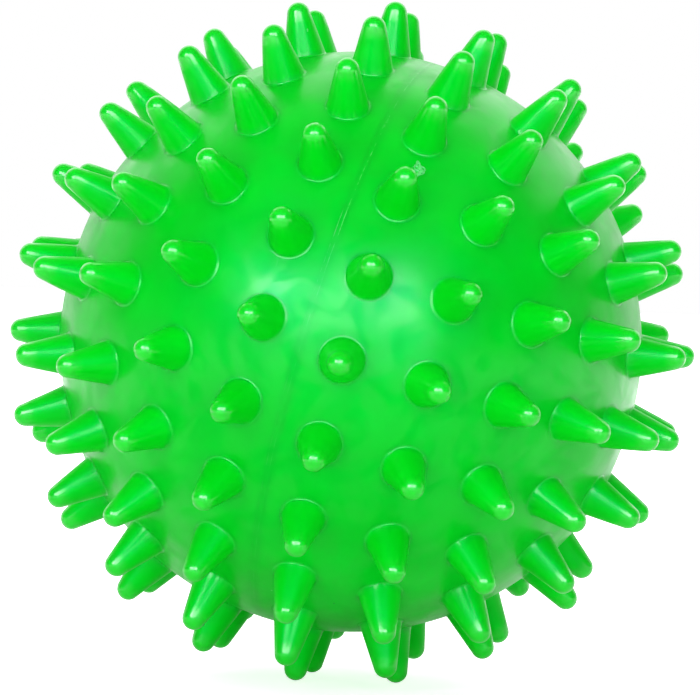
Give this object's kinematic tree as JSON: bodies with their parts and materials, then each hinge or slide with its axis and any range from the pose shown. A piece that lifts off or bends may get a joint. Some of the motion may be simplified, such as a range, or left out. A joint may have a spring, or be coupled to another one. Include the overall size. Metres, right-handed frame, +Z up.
{
  "type": "sensory ball",
  "caption": "Hollow soft plastic sensory ball with round-tipped conical nubs all over, moulded in two welded halves, with a pull-out stopper in its filling hole.",
  "frame": {"origin": "centre of the ball's round body, which is also the middle of its box", "axes": "+Z up with the ball resting on three nubs, +X towards the half with the feed mark, -Y towards the viewer of the picture"},
  "size_m": [0.09, 0.09, 0.0889],
  "materials": {
    "green_vinyl": "glossy soft moulded vinyl, slightly translucent",
    "plug_vinyl": "smooth moulded vinyl, a little harder and darker"
  },
  "bodies": {
    "ball": {"shell_half_right": "green_vinyl", "shell_half_left": "green_vinyl", "weld_seam": "green_vinyl", "nub_row_right_1": "green_vinyl", "nub_row_right_2": "green_vinyl", "nub_row_right_3": "green_vinyl", "nub_row_right_4": "green_vinyl", "nub_row_right_5": "green_vinyl", "pole_nub_right": "green_vinyl", "nub_row_left_1": "green_vinyl", "nub_row_left_2": "green_vinyl", "nub_row_left_3": "green_vinyl", "nub_row_left_4": "green_vinyl", "nub_row_left_5": "green_vinyl", "pole_nub_left": "green_vinyl", "feed_mark": "green_vinyl"},
    "plug": {"valve_plug": "plug_vinyl"}
  },
  "joints": [
    {"name": "plug_pull", "type": "slide", "parent": "ball", "child": "plug", "axis": [-0.0041, 0.7956, 0.6058], "range_m": [0, 0.015]}
  ]
}
